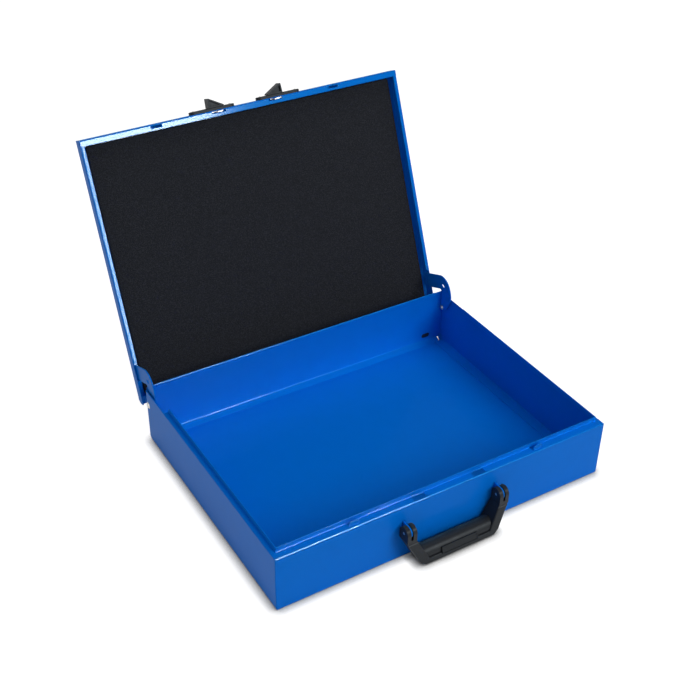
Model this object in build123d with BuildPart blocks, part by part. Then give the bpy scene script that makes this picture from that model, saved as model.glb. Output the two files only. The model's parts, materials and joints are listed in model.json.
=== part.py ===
from build123d import *

import os
from math import cos, hypot, radians, sin, sqrt

# Metal case with a hinged lid, two sliding latches and a swinging front handle.
# Millimetres. X runs to the right, Y to the rear and Z up. The origin is the centre of the underside.
# The lid is drawn closed, where its fits with the base can be read, and turned open as it is written.

# Case body
WIDTH = 440.0
DEPTH = 330.0
RIM_HEIGHT = 75.0  # from the underside to the rim of the base
LID_HEIGHT = 16.0
RIM_GAP = 1.0  # between the two rims when the lid is closed
SHEET = 1.0  # thickness of the folded steel sheet
FOLD = 1.0  # bend radius, at the middle of the sheet
END_FOLD = 2.5  # larger bend along the foot of the side walls and the top of the lid's
CORNER_ROUND = 1.0  # upright corners, in plan
RIM_ROUND = 0.9  # corners of the sheet at the rims
BEND_RELIEF = 0.8  # rounding of a side wall where it lies in a bend of the tray

# Base
FRONT_SHELF = 9.3
SIDE_SHELF = 6.0
LIP_HEIGHT = 6.0
SIDE_SHELF_END = 53.0  # from the rear face
LIP_END_SLANT = 2.0
REAR_RISE = 5.0  # height of the rear wall above the rim
HEM_HEIGHT = 5.0
HEM_ROUND = 0.9
HEM_FROM_SIDE = 14.0
REAR_WALL_FROM_SIDE = 1.7  # the part of the rear wall above the rim
FOOT_RUN = 8.0
FOOT_RISE = 5.5
FLOOR_FLANGE = 14.0
FOOT_SLOT_FROM_SIDE = 6.2
FOOT_SLOT_WIDTH = 2.0

# Openings and tabs in the front shelf
LATCH_WINDOW_IN = 31.7
LATCH_WINDOW_OUT = 47.7
LATCH_WINDOW_DEPTH = 7.7
TAB_X = 123.0
TAB_WIDTH = 12.0
TAB_HEIGHT = 5.2
TAB_SETBACK = 3.2  # from the front face
TAB_ROUND = 2.0
TAB_HOLE_WIDTH = 15.0
TAB_HOLE_DEPTH = 4.5

# Oblong holes low in the rear wall, each with a push-in buffer
BUFFER_FROM_SIDE = 26.3
BUFFER_HEIGHT = 13.5
BUFFER_LENGTH = 12.7
BUFFER_WIDTH = 6.4
BUFFER_LIP = 1.8  # how far the head covers the wall around the hole
BUFFER_HEAD = 1.6
BUFFER_EDGE = 0.6
BUFFER_SHANK = 0.8

# Lid
LID_FRONT_FLANGE = 7.5
LID_SIDE_FLANGE = 5.2
LID_SIDE_FLANGE_END = 54.0  # from the rear face
LID_FLANGE_SLANT = 4.0
LID_TOP_FLANGE = 9.0
LID_FRONT_FOLD = 4.0
LID_BEVEL = 8.0
LID_REAR_GAP = 1.5  # between the lid's rear wall and the top of the base's rear wall
TAB_SLOT_SIDE_GAP = 1.0
TAB_SLOT_FRONT_GAP = 1.4
TAB_SLOT_REAR_GAP = 0.6
FOAM_THICKNESS = 4.0
FOAM_SIDE_MARGIN = 9.5
FOAM_END_MARGIN = 9.0
FOAM_ROUND = 3.0

# Hinge: a gooseneck ear on each side of the lid turns on a rivet through the side wall
OPENING = 112.2  # degrees from closed to open
HINGE_FROM_REAR = 4.5
HINGE_DROP = 20.5  # pivot below the rim
EAR_SHEET = 1.5
EAR_STEP = 1.5  # how far the ear is joggled in from the inside of the lid's side wall
EAR_FRONT = 51.5  # from the rear face
EAR_BOTTOM = 48.5  # below the closed lid's rim
EAR_HEEL = 17.5  # from the rear face to the corner where the lower edge turns up
EAR_ROUND = 20.0
EAR_HEEL_RISE = 18.8
EAR_TAIL_ROUND = 8.0
EAR_EYE = 3.0  # metal around the pivot
EAR_SWING_GAP = 2.6
EAR_CROTCH = 3.0
EAR_LEG = 11.5  # height of the leg against the lid's side wall
EAR_LEG_ROUND = 3.0
EAR_JOGGLE = 2.5
EAR_SLOT_LENGTH = 6.5
EAR_SLOT_WIDTH = 4.0
EAR_SLOT_SLOPE = 47.0  # degrees
EAR_SLOT_FROM_REAR = 36.7
EAR_SLOT_DROP = 34.0
RIVET_SHANK = 2.0
RIVET_HEAD = 3.4  # inside the case
RIVET_RISE = 2.2
RIVET_OUTER_HEAD = 4.3
RIVET_OUTER_RISE = 1.8
WASHER_RADIUS = 3.2
PIVOT_FIT = 0.05
PLAY = 0.05

# Handle
HANDLE_FROM_FACE = 10.7
HANDLE_HEIGHT = 47.0
HANDLE_LUG_RADIUS = 8.0
HANDLE_LUG_IN = 55.8
HANDLE_LUG_OUT = 68.2
HANDLE_SHOULDER_DROP = 10.5  # from the pivot down to where the arms start to slant inward
HANDLE_FOOT_OUT = 53.2
HANDLE_FOOT_HEIGHT = 6.5
HANDLE_BOTTOM_HALF = 46.5
HANDLE_BOTTOM = 1.2
HANDLE_STEP_DROP = 13.0  # from the pivot down to the step below the lugs
HANDLE_STEP = 1.1
HANDLE_TOE = 15.3  # front of the handle at its foot, from the pivot
HANDLE_HEEL = 9.0  # back of the handle at its foot, from the pivot
HANDLE_HEEL_ROUND = 2.0
HANDLE_INNER_DROP = 10.0  # from the pivot down to where the arms' inner sides start to slant
HANDLE_INNER_HALF = 41.0
HANDLE_BAND_TOP = 8.0
HANDLE_BAND_ROUND = 3.0
HANDLE_ARM_ROUND = 4.0
HANDLE_EDGE = 1.4
HANDLE_SLIT = 2.8
GRIP_RADIUS = 10.4
GRIP_HEIGHT = 8.9
GRIP_FORWARD = 1.5  # from the pivot
GRIP_BURIED = 6.5  # how far the grip runs into the arms
PLATE_HALF = 24.3
PLATE_HEIGHT = 9.4
PLATE_TILT = 20.0  # degrees
PLATE_FORWARD = 13.9  # middle of the plate's face, from the pivot
PLATE_MIDDLE = 10.7
PLATE_DEPTH = 5.0
PLATE_ROUND = 1.4
PLATE_BORDER = 1.2
PLATE_RECESS = 0.5
BRACKET_SHEET = 1.8
BRACKET_NOSE = 6.8
BRACKET_FLANGE = 13.0
BRACKET_FOLD = 1.4
BRACKET_SLIT_GAP = 0.7
BRACKET_SLIT_END_GAP = 0.3
PIN_RADIUS = 1.8

# Latches: a fin slides along a frame on the lid and carries a hook behind the lid's front wall
LATCH_X = 46.0
LATCH_LENGTH = 61.0
LATCH_HEIGHT = 11.0
LATCH_THICKNESS = 3.5
LATCH_FROM_TOP = 9.6
LATCH_EDGE = 0.8
LATCH_TRAVEL = 7.5
TRACK_HEIGHT = 5.6
FIN_IN = 30.8
FIN_OUT = 51.6
FIN_TIP_IN = 49.3
FIN_TIP_OUT = 50.9
FIN_REACH = 15.4  # from the lid's front face to the tip
FIN_ROOT = 1.4
FIN_HEIGHT = 10.0
FIN_ROUND = 0.7
FIN_BORDER = 1.8
FIN_RECESS = 2.6
SHOE_IN = 33.0
SHOE_OUT = 51.0
SLIDE_GAP = 0.2
HOOK_SHEET = 1.2
HOOK_GAP = 0.3
HOOK_PLATE_IN = 33.0
HOOK_PLATE_OUT = 51.0
HOOK_PLATE_TOP = 5.0
HOOK_STEM_IN = 35.5
HOOK_STEM_OUT = 39.8
HOOK_BARB_OUT = 44.5
HOOK_BARB_THICKNESS = 3.0
HOOK_CLEAR = 0.6  # under the shelf of the base
HOOK_LEAD = 1.6
LID_WINDOW_IN = 29.8
LID_WINDOW_OUT = 48.9
LID_WINDOW_DEPTH = 2.6
HOOK_RIVET_IN = 38.0
HOOK_RIVET_OUT = 46.0
HOOK_RIVET_SHANK = 1.4
HOOK_RIVET_HEAD = 2.4
HOOK_RIVET_RISE = 0.9
HOOK_RIVET_DEPTH = 2.6
FRAME_RIVET_SHANK = 1.3
FRAME_RIVET_HEAD = 2.3
FRAME_RIVET_RISE = 0.8

# Levels and faces that several pieces share
MID = SHEET / 2
SIDE = WIDTH / 2
REAR = DEPTH / 2
FRONT = -REAR
LIP_FACE = FRONT + FRONT_SHELF
LIP_BACK = LIP_FACE + SHEET
LIP_TOP = RIM_HEIGHT + LIP_HEIGHT
REAR_TOP = RIM_HEIGHT + REAR_RISE
REAR_WALL_TOP = REAR_TOP - SHEET
SHELF_END = REAR - SIDE_SHELF_END
LID_RIM = RIM_HEIGHT + RIM_GAP
LID_TOP = LID_RIM + LID_HEIGHT
LID_REAR_RIM = REAR_TOP + LID_REAR_GAP
HEM_HALF = SIDE - HEM_FROM_SIDE
REAR_WALL_HALF = SIDE - REAR_WALL_FROM_SIDE
FOOT_SLOT_X = SIDE - FOOT_SLOT_FROM_SIDE
BUFFER_X = SIDE - BUFFER_FROM_SIDE
HINGE_Y = REAR - HINGE_FROM_REAR
HINGE_Z = RIM_HEIGHT - HINGE_DROP
EAR_FACE = SIDE - SHEET - EAR_STEP  # the ear's outer side
HANDLE_Y = FRONT - HANDLE_FROM_FACE
LUG_X = (HANDLE_LUG_IN + HANDLE_LUG_OUT) / 2
LATCH_Z = LID_TOP - LATCH_FROM_TOP
TAB_FACE = FRONT + TAB_SETBACK
HOOK_FACE = FRONT + SHEET + HOOK_GAP
TURN = radians(OPENING)
THROUGH = 2 * SHEET  # depth of a cut through one sheet
OVER_FOLD = 2 * FOLD  # depth that clears a fold


def bevel(run, rise, inset):
    """Ends of a bevel over a corner, as distances from the corner's two faces, inset within its surface."""
    slope = rise / run
    slant = sqrt(1 + slope**2)
    start = (run + inset * (slant - 1) / slope, inset)
    end = (inset, slope * (run - inset) + inset * slant)
    return start, end


def folded(plane, path, bends, thickness=SHEET):
    """Section of a folded sheet, along the path that its middle follows."""
    with BuildSketch(plane) as section:
        with BuildLine():
            FilletPolyline(*path, radius=bends)
        trace(line_width=thickness)
    return section.sketch


def outline(plane, corners):
    """Closed outline of straight sides, each corner given with its own rounding."""
    with BuildSketch(plane) as section:
        with BuildLine():
            FilletPolyline(*[point for point, _ in corners], radius=[r for _, r in corners], close=True)
        make_face()
    return section.sketch


def dome(start, end):
    """Arc of a domed head, between its tip on the axis and its rim."""
    half = abs(end[0] - start[0])
    rise = abs(end[1] - start[1])
    RadiusArc(start, end, -(half**2 + rise**2) / (2 * rise))


def rivet(plane, grip, shank, head, rise, tail=0, tail_rise=0):
    """Rivet that grips from the plane along its normal. Its head is domed, and so is its tail, if it has one."""
    section = Plane(plane.origin, x_dir=plane.x_dir, z_dir=-plane.y_dir)
    with BuildPart() as body:
        with BuildSketch(section):
            with BuildLine():
                dome((0, -rise), (head, 0))
                Polyline((head, 0), (shank, 0), (shank, grip))
                if tail:
                    Line((shank, grip), (tail, grip))
                    dome((tail, grip), (0, grip + tail_rise))
                else:
                    Line((shank, grip), (0, grip))
                Line((0, grip + tail_rise), (0, -rise))
            make_face()
        revolve(axis=Axis(plane.origin, plane.z_dir))
    return body.part


# Base tray: floor, front wall with its shelf and lip, and rear wall, folded from one sheet
foot_start, foot_end = bevel(FOOT_RUN, FOOT_RISE, MID)
tray_path = [
    (LIP_FACE + MID, LIP_TOP),
    (LIP_FACE + MID, RIM_HEIGHT - MID),
    (FRONT + MID, RIM_HEIGHT - MID),
    (FRONT + MID, MID),
    (REAR - foot_start[0], MID),
    (REAR - MID, foot_end[1]),
    (REAR - MID, REAR_WALL_TOP),
]
tray_front_view = [
    ((-SIDE, 0), END_FOLD + SHEET),
    ((SIDE, 0), END_FOLD + SHEET),
    ((SIDE, RIM_HEIGHT), RIM_ROUND),
    ((REAR_WALL_HALF, RIM_HEIGHT), 0),
    ((REAR_WALL_HALF, LIP_TOP + SHEET), 0),
    ((-REAR_WALL_HALF, LIP_TOP + SHEET), 0),
    ((-REAR_WALL_HALF, RIM_HEIGHT), 0),
    ((-SIDE, RIM_HEIGHT), RIM_ROUND),
]
with BuildPart() as base_tray:
    extrude(folded(Plane.YZ, tray_path, FOLD), amount=SIDE, both=True)
    extrude(outline(Plane.XZ, tray_front_view), amount=DEPTH, both=True, mode=Mode.INTERSECT)
    with BuildSketch(Plane.XY):
        RectangleRounded(WIDTH, DEPTH, CORNER_ROUND)
    extrude(amount=LIP_TOP + SHEET, mode=Mode.INTERSECT)
    # hem folded down inside the top of the rear wall
    with BuildSketch(Plane.YZ):
        with Locations((REAR - SHEET, REAR_TOP)):
            Rectangle(2 * SHEET, HEM_HEIGHT, align=(Align.CENTER, Align.MAX))
        fillet(vertices().group_by(Axis.Y)[-1], HEM_ROUND)
    extrude(amount=HEM_HALF, both=True)
    # the lip stops at the side lips
    lip_end_x = SIDE - SIDE_SHELF / 2
    with BuildSketch(Plane.XY.offset(RIM_HEIGHT)):
        with Locations((lip_end_x, LIP_BACK), (-lip_end_x, LIP_BACK)):
            Rectangle(SIDE_SHELF, 2 * (SHEET + FOLD), align=(Align.CENTER, Align.CENTER))
    extrude(amount=LIP_HEIGHT + SHEET, mode=Mode.SUBTRACT)
    # windows for the latch hooks, and holes left behind the tabs
    window = LATCH_WINDOW_OUT - LATCH_WINDOW_IN
    window_x = (LATCH_WINDOW_OUT + LATCH_WINDOW_IN) / 2
    tab_back = TAB_FACE + SHEET
    with BuildSketch(Plane.XY.offset(RIM_HEIGHT)):
        with Locations((window_x, FRONT + SHEET), (-window_x, FRONT + SHEET)):
            Rectangle(window, LATCH_WINDOW_DEPTH, align=(Align.CENTER, Align.MIN))
        with Locations((TAB_X, tab_back), (-TAB_X, tab_back)):
            Rectangle(TAB_HOLE_WIDTH, TAB_HOLE_DEPTH, align=(Align.CENTER, Align.MIN))
    extrude(amount=-THROUGH, mode=Mode.SUBTRACT)
    # tabs raised from the shelf
    with BuildSketch(Plane.XZ.offset(-TAB_FACE)):
        with Locations((TAB_X, RIM_HEIGHT - SHEET), (-TAB_X, RIM_HEIGHT - SHEET)):
            Rectangle(TAB_WIDTH, TAB_HEIGHT + SHEET, align=(Align.CENTER, Align.MIN))
        fillet(vertices().group_by(Axis.Y)[-1], TAB_ROUND)
    extrude(amount=-SHEET)
    # oblong holes in the rear wall
    with BuildSketch(Plane.XZ.offset(-REAR)):
        with Locations((BUFFER_X, BUFFER_HEIGHT), (-BUFFER_X, BUFFER_HEIGHT)):
            SlotOverall(BUFFER_LENGTH, BUFFER_WIDTH)
    extrude(amount=THROUGH, mode=Mode.SUBTRACT)
    # slits in the front wall for the handle brackets
    slit_width = BRACKET_SHEET + 2 * BRACKET_SLIT_GAP
    slit_height = 2 * (BRACKET_NOSE + BRACKET_SLIT_END_GAP)
    with BuildSketch(Plane.XZ.offset(REAR)):
        with Locations((LUG_X, HANDLE_HEIGHT), (-LUG_X, HANDLE_HEIGHT)):
            Rectangle(slit_width, slit_height)
    extrude(amount=-THROUGH, mode=Mode.SUBTRACT)
    # relief slots across the foot's bevel, beside the side walls
    with BuildSketch(Plane.XY):
        with Locations((FOOT_SLOT_X, REAR), (-FOOT_SLOT_X, REAR)):
            Rectangle(FOOT_SLOT_WIDTH, 2 * FOOT_RUN, align=(Align.CENTER, Align.CENTER))
    extrude(amount=FOOT_RISE, mode=Mode.SUBTRACT)

# Side walls of the base, with a shelf and lip above and a flange spot-welded on the floor
end_path = [
    (SIDE - SIDE_SHELF - MID, LIP_TOP),
    (SIDE - SIDE_SHELF - MID, RIM_HEIGHT - MID),
    (SIDE - MID, RIM_HEIGHT - MID),
    (SIDE - MID, SHEET + MID),
    (SIDE - FLOOR_FLANGE, SHEET + MID),
]
end_foot_start, end_foot_end = bevel(FOOT_RUN, FOOT_RISE, SHEET)
end_side_view = [
    ((FRONT + SHEET, SHEET), BEND_RELIEF),
    ((REAR - end_foot_start[0], SHEET), BEND_RELIEF),
    ((REAR - SHEET, end_foot_end[1]), BEND_RELIEF),
    ((REAR - SHEET, RIM_HEIGHT), 0),
    ((SHELF_END, RIM_HEIGHT), 0),
    ((SHELF_END - LIP_END_SLANT, LIP_TOP), 0),
    ((LIP_BACK, LIP_TOP), 0),
    ((LIP_BACK, RIM_HEIGHT - SHEET), 0),
    ((FRONT + SHEET, RIM_HEIGHT - SHEET), BEND_RELIEF),
]
with BuildPart() as base_end_right:
    extrude(folded(Plane.XZ, end_path, [FOLD, FOLD, END_FOLD]), amount=REAR, both=True)
    extrude(outline(Plane.YZ, end_side_view), amount=WIDTH, mode=Mode.INTERSECT)
    # behind the shelf the wall is plain, to leave room for the hinge ear
    with BuildSketch(Plane.XY.offset(LIP_TOP)):
        with Locations((SIDE - SHEET, SHELF_END)):
            Rectangle(2 * SIDE_SHELF, DEPTH, align=(Align.MAX, Align.MIN))
    extrude(amount=-LIP_HEIGHT - SHEET - OVER_FOLD, mode=Mode.SUBTRACT)
    with BuildSketch(Plane.YZ.offset(SIDE)):
        with Locations((HINGE_Y, HINGE_Z)):
            Circle(RIVET_SHANK + PIVOT_FIT)
    extrude(amount=-THROUGH, mode=Mode.SUBTRACT)
with BuildPart() as base_end_left:
    mirror(base_end_right.part, about=Plane.YZ)

# Lid tray: front wall with its flange, top panel, and short rear wall behind a bevel
lid_start, lid_end = bevel(LID_BEVEL, LID_BEVEL, MID)
lid_path = [
    (FRONT + LID_FRONT_FLANGE, LID_RIM + MID),
    (FRONT + MID, LID_RIM + MID),
    (FRONT + MID, LID_TOP - MID),
    (REAR - lid_start[0], LID_TOP - MID),
    (REAR - MID, LID_TOP - lid_end[1]),
    (REAR - MID, LID_REAR_RIM),
]
lid_front_view = [
    ((-SIDE, LID_RIM), RIM_ROUND),
    ((SIDE, LID_RIM), RIM_ROUND),
    ((SIDE, LID_TOP), END_FOLD + SHEET),
    ((-SIDE, LID_TOP), END_FOLD + SHEET),
]
with BuildPart() as lid_tray:
    extrude(folded(Plane.YZ, lid_path, [FOLD, LID_FRONT_FOLD, FOLD, FOLD]), amount=SIDE, both=True)
    extrude(outline(Plane.XZ, lid_front_view), amount=DEPTH, both=True, mode=Mode.INTERSECT)
    with BuildSketch(Plane.XY.offset(LID_RIM)):
        RectangleRounded(WIDTH, DEPTH, CORNER_ROUND)
    extrude(amount=LID_HEIGHT, mode=Mode.INTERSECT)
    # slots in the flange over the base's tabs, and windows for the hooks
    lid_window = LID_WINDOW_OUT - LID_WINDOW_IN
    lid_window_x = (LID_WINDOW_OUT + LID_WINDOW_IN) / 2
    tab_slot = SHEET + TAB_SLOT_FRONT_GAP + TAB_SLOT_REAR_GAP
    with BuildSketch(Plane.XY.offset(LID_RIM)):
        with Locations((TAB_X, TAB_FACE - TAB_SLOT_FRONT_GAP), (-TAB_X, TAB_FACE - TAB_SLOT_FRONT_GAP)):
            Rectangle(TAB_WIDTH + 2 * TAB_SLOT_SIDE_GAP, tab_slot, align=(Align.CENTER, Align.MIN))
        with Locations((lid_window_x, FRONT + SHEET), (-lid_window_x, FRONT + SHEET)):
            Rectangle(lid_window, LID_WINDOW_DEPTH, align=(Align.CENTER, Align.MIN))
    extrude(amount=THROUGH, mode=Mode.SUBTRACT)
    # slots in the front wall that the hook rivets slide along, and rivet holes for the frames
    slot_in = HOOK_RIVET_IN - HOOK_RIVET_SHANK - SLIDE_GAP
    slot_out = HOOK_RIVET_OUT + HOOK_RIVET_SHANK + SLIDE_GAP + LATCH_TRAVEL
    slot_x = (slot_in + slot_out) / 2
    frame_rivet_in = LATCH_X - (LATCH_LENGTH - LATCH_HEIGHT) / 2
    frame_rivet_out = LATCH_X + (LATCH_LENGTH - LATCH_HEIGHT) / 2
    with BuildSketch(Plane.XZ.offset(REAR)):
        with Locations((slot_x, LATCH_Z), (-slot_x, LATCH_Z)):
            SlotOverall(slot_out - slot_in, 2 * (HOOK_RIVET_SHANK + SLIDE_GAP))
        frame_rivet_places = [(side * x, LATCH_Z) for side in (1, -1) for x in (frame_rivet_in, frame_rivet_out)]
        with Locations(*frame_rivet_places):
            Circle(FRAME_RIVET_SHANK + PIVOT_FIT)
    extrude(amount=-THROUGH, mode=Mode.SUBTRACT)

# Side walls of the lid, with a flange at the rim and one under the top panel
lid_end_path = [
    (SIDE - LID_SIDE_FLANGE, LID_RIM + MID),
    (SIDE - MID, LID_RIM + MID),
    (SIDE - MID, LID_TOP - SHEET - MID),
    (SIDE - LID_TOP_FLANGE, LID_TOP - SHEET - MID),
]
lid_bevel_start, lid_bevel_end = bevel(LID_BEVEL, LID_BEVEL, SHEET)
lid_side_view = [
    ((FRONT + SHEET, LID_RIM + SHEET), BEND_RELIEF),
    ((FRONT + LID_FRONT_FLANGE, LID_RIM + SHEET), 0),
    ((FRONT + LID_FRONT_FLANGE, LID_RIM), 0),
    ((REAR, LID_RIM), SHEET),
    ((REAR, LID_REAR_RIM), 0),
    ((REAR - SHEET, LID_REAR_RIM), 0),
    ((REAR - SHEET, LID_TOP - lid_bevel_end[1]), BEND_RELIEF),
    ((REAR - lid_bevel_start[0], LID_TOP - SHEET), BEND_RELIEF),
    ((FRONT + SHEET, LID_TOP - SHEET), LID_FRONT_FOLD),
]
flange_end = REAR - LID_SIDE_FLANGE_END
flange_edge = SIDE - LID_SIDE_FLANGE - SHEET
flange_cut = [
    ((SIDE - SHEET, flange_end), 0),
    ((SIDE - SHEET, REAR + SHEET), 0),
    ((flange_edge, REAR + SHEET), 0),
    ((flange_edge, flange_end - LID_FLANGE_SLANT), 0),
]
with BuildPart() as lid_end_right:
    extrude(folded(Plane.XZ, lid_end_path, [FOLD, END_FOLD]), amount=DEPTH, both=True)
    extrude(outline(Plane.YZ, lid_side_view), amount=WIDTH, mode=Mode.INTERSECT)
    extrude(outline(Plane.XY.offset(LID_RIM), flange_cut), amount=OVER_FOLD + SHEET, mode=Mode.SUBTRACT)
with BuildPart() as lid_end_left:
    mirror(lid_end_right.part, about=Plane.YZ)

# Foam sheet glued under the top panel
with BuildPart() as foam_pad:
    with BuildSketch(Plane.XY.offset(LID_TOP - SHEET)):
        RectangleRounded(WIDTH - 2 * FOAM_SIDE_MARGIN, DEPTH - 2 * FOAM_END_MARGIN, FOAM_ROUND)
    extrude(amount=-FOAM_THICKNESS)

# Hinge ears. The neck drops from the lid's side wall, and its arm runs back under the window to the
# pivot. The window takes the top of the rear wall as the lid opens, until the arm's edge lies along the
# wall's inner face and stops the lid.
sweep_radius = hypot(HINGE_FROM_REAR, REAR_WALL_TOP - HINGE_Z)
neck_rear = HINGE_Y - sweep_radius - EAR_SWING_GAP
arm_at_tail = (EAR_EYE - EAR_EYE * cos(TURN)) / sin(TURN)
arm_at_neck = (neck_rear - HINGE_Y - EAR_EYE * cos(TURN)) / sin(TURN)
ear_bottom = LID_RIM - EAR_BOTTOM
ear_top = LID_RIM + EAR_LEG
ear_side_view = [
    ((REAR - EAR_FRONT, ear_top), EAR_LEG_ROUND),
    ((REAR - EAR_FRONT, ear_bottom), EAR_ROUND),
    ((REAR - EAR_HEEL, ear_bottom), EAR_ROUND),
    ((HINGE_Y + EAR_EYE, ear_bottom + EAR_HEEL_RISE), EAR_TAIL_ROUND),
    ((HINGE_Y + EAR_EYE, HINGE_Z + EAR_EYE * sin(TURN) - arm_at_tail * cos(TURN)), EAR_EYE),
    ((neck_rear, HINGE_Z + EAR_EYE * sin(TURN) - arm_at_neck * cos(TURN)), EAR_CROTCH),
    ((neck_rear, ear_top), EAR_LEG_ROUND),
]
ear_mid = EAR_FACE - EAR_SHEET / 2
leg_mid = SIDE - SHEET - EAR_SHEET / 2
ear_path = [
    (ear_mid, ear_bottom - EAR_SHEET),
    (ear_mid, LID_RIM),
    (leg_mid, LID_RIM + EAR_JOGGLE),
    (leg_mid, ear_top + EAR_SHEET),
]
with BuildPart() as hinge_ear_right:
    extrude(folded(Plane.XZ, ear_path, FOLD, EAR_SHEET), amount=DEPTH, both=True)
    extrude(outline(Plane.YZ, ear_side_view), amount=WIDTH, mode=Mode.INTERSECT)
    with BuildSketch(Plane.YZ.offset(SIDE)):
        with Locations((HINGE_Y, HINGE_Z)):
            Circle(RIVET_SHANK + PIVOT_FIT)
        with Locations((REAR - EAR_SLOT_FROM_REAR, LID_RIM - EAR_SLOT_DROP)):
            SlotOverall(EAR_SLOT_LENGTH, EAR_SLOT_WIDTH, rotation=-EAR_SLOT_SLOPE)
    extrude(amount=-2 * SIDE_SHELF, mode=Mode.SUBTRACT)
with BuildPart() as hinge_ear_left:
    mirror(hinge_ear_right.part, about=Plane.YZ)

# Rivets and washers of the hinge
rivet_seat = EAR_FACE - EAR_SHEET - PLAY
with BuildPart() as hinge_rivets:
    hinge_plane = Plane((rivet_seat, HINGE_Y, HINGE_Z), x_dir=(0, 1, 0), z_dir=(1, 0, 0))
    inner_head = (RIVET_HEAD, RIVET_RISE)
    outer_head = (RIVET_OUTER_HEAD, RIVET_OUTER_RISE)
    add(rivet(hinge_plane, SIDE - rivet_seat, RIVET_SHANK, *inner_head, *outer_head))
    mirror(about=Plane.YZ)
with BuildPart() as hinge_washers:
    with BuildSketch(Plane.YZ.offset(SIDE - SHEET)):
        with Locations((HINGE_Y, HINGE_Z)):
            Circle(WASHER_RADIUS)
            Circle(RIVET_SHANK + PIVOT_FIT, mode=Mode.SUBTRACT)
    extrude(amount=PLAY - EAR_STEP)
    mirror(about=Plane.YZ)

# Handle brackets: an ear through the front wall, with a flange spot-welded behind it
bracket_back = FRONT + SHEET + BRACKET_SHEET / 2
bracket_path = [
    (LUG_X, HANDLE_Y - 2 * BRACKET_NOSE),
    (LUG_X, bracket_back),
    (LUG_X + BRACKET_FLANGE, bracket_back),
]
with BuildPart() as handle_bracket_right:
    with BuildSketch(Plane.XY.offset(HANDLE_HEIGHT)):
        add(folded(Plane.XY, bracket_path, BRACKET_FOLD, BRACKET_SHEET))
    extrude(amount=BRACKET_NOSE, both=True)
    with BuildSketch(Plane.YZ):
        with Locations((HANDLE_Y, HANDLE_HEIGHT)):
            Circle(BRACKET_NOSE)
            Rectangle(2 * HANDLE_FROM_FACE, 2 * BRACKET_NOSE, align=(Align.MIN, Align.CENTER))
    extrude(amount=WIDTH, mode=Mode.INTERSECT)
    with BuildSketch(Plane.YZ.offset(LUG_X)):
        with Locations((HANDLE_Y, HANDLE_HEIGHT)):
            Circle(PIN_RADIUS + PIVOT_FIT)
    extrude(amount=BRACKET_SHEET, both=True, mode=Mode.SUBTRACT)
with BuildPart() as handle_bracket_left:
    mirror(handle_bracket_right.part, about=Plane.YZ)
with BuildPart() as handle_pins:
    with BuildSketch(Plane.YZ.offset(LUG_X)):
        with Locations((HANDLE_Y, HANDLE_HEIGHT)):
            Circle(PIN_RADIUS)
    extrude(amount=(HANDLE_LUG_OUT - HANDLE_LUG_IN) / 2, both=True)
    mirror(about=Plane.YZ)

# Rear buffers: plugs pushed into the oblong holes, each with a flat head outside
with BuildPart() as rear_buffers:
    with BuildSketch(Plane.XZ.offset(-REAR - BUFFER_HEAD)):
        with Locations((BUFFER_X, BUFFER_HEIGHT), (-BUFFER_X, BUFFER_HEIGHT)):
            SlotOverall(BUFFER_LENGTH + 2 * BUFFER_LIP, BUFFER_WIDTH + 2 * BUFFER_LIP)
    extrude(amount=BUFFER_HEAD)
    fillet(faces().group_by(Axis.Y)[-1].edges(), BUFFER_EDGE)
    with BuildSketch(Plane.XZ.offset(-REAR)):
        with Locations((BUFFER_X, BUFFER_HEIGHT), (-BUFFER_X, BUFFER_HEIGHT)):
            SlotOverall(BUFFER_LENGTH - 2 * PIVOT_FIT, BUFFER_WIDTH - 2 * PIVOT_FIT)
    extrude(amount=BUFFER_SHANK)

# Handle: a moulded bail with forked ends. A round grip lies behind the band that joins its arms.
lug_top = HANDLE_HEIGHT + HANDLE_LUG_RADIUS
step_height = HANDLE_HEIGHT - HANDLE_STEP_DROP
step_front = HANDLE_Y - HANDLE_LUG_RADIUS - HANDLE_STEP
handle_right = [
    ((HANDLE_BOTTOM_HALF, HANDLE_BOTTOM), HANDLE_ARM_ROUND),
    ((HANDLE_FOOT_OUT, HANDLE_FOOT_HEIGHT), HANDLE_ARM_ROUND),
    ((HANDLE_LUG_OUT, HANDLE_HEIGHT - HANDLE_SHOULDER_DROP), HANDLE_ARM_ROUND),
    ((HANDLE_LUG_OUT, lug_top), 0),
]
finger_gap_right = [
    ((HANDLE_INNER_HALF, HANDLE_BAND_TOP), HANDLE_BAND_ROUND),
    ((HANDLE_LUG_IN, HANDLE_HEIGHT - HANDLE_INNER_DROP), HANDLE_ARM_ROUND),
    ((HANDLE_LUG_IN, lug_top + SHEET), 0),
]
handle_side_view = [
    ((HANDLE_Y + HANDLE_LUG_RADIUS, HANDLE_HEIGHT), 0),
    ((HANDLE_Y - HANDLE_LUG_RADIUS, HANDLE_HEIGHT), 0),
    ((HANDLE_Y - HANDLE_LUG_RADIUS, step_height), 0),
    ((step_front, step_height - HANDLE_STEP), 0),
    ((HANDLE_Y - HANDLE_TOE, HANDLE_BOTTOM), 0),
    ((HANDLE_Y + HANDLE_HEEL, HANDLE_BOTTOM), HANDLE_HEEL_ROUND),
]


def both_sides(right):
    """The corners of a shape that is the same on both sides, from those of its right half."""
    return right + [((-x, z), r) for (x, z), r in reversed(right)]


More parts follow.
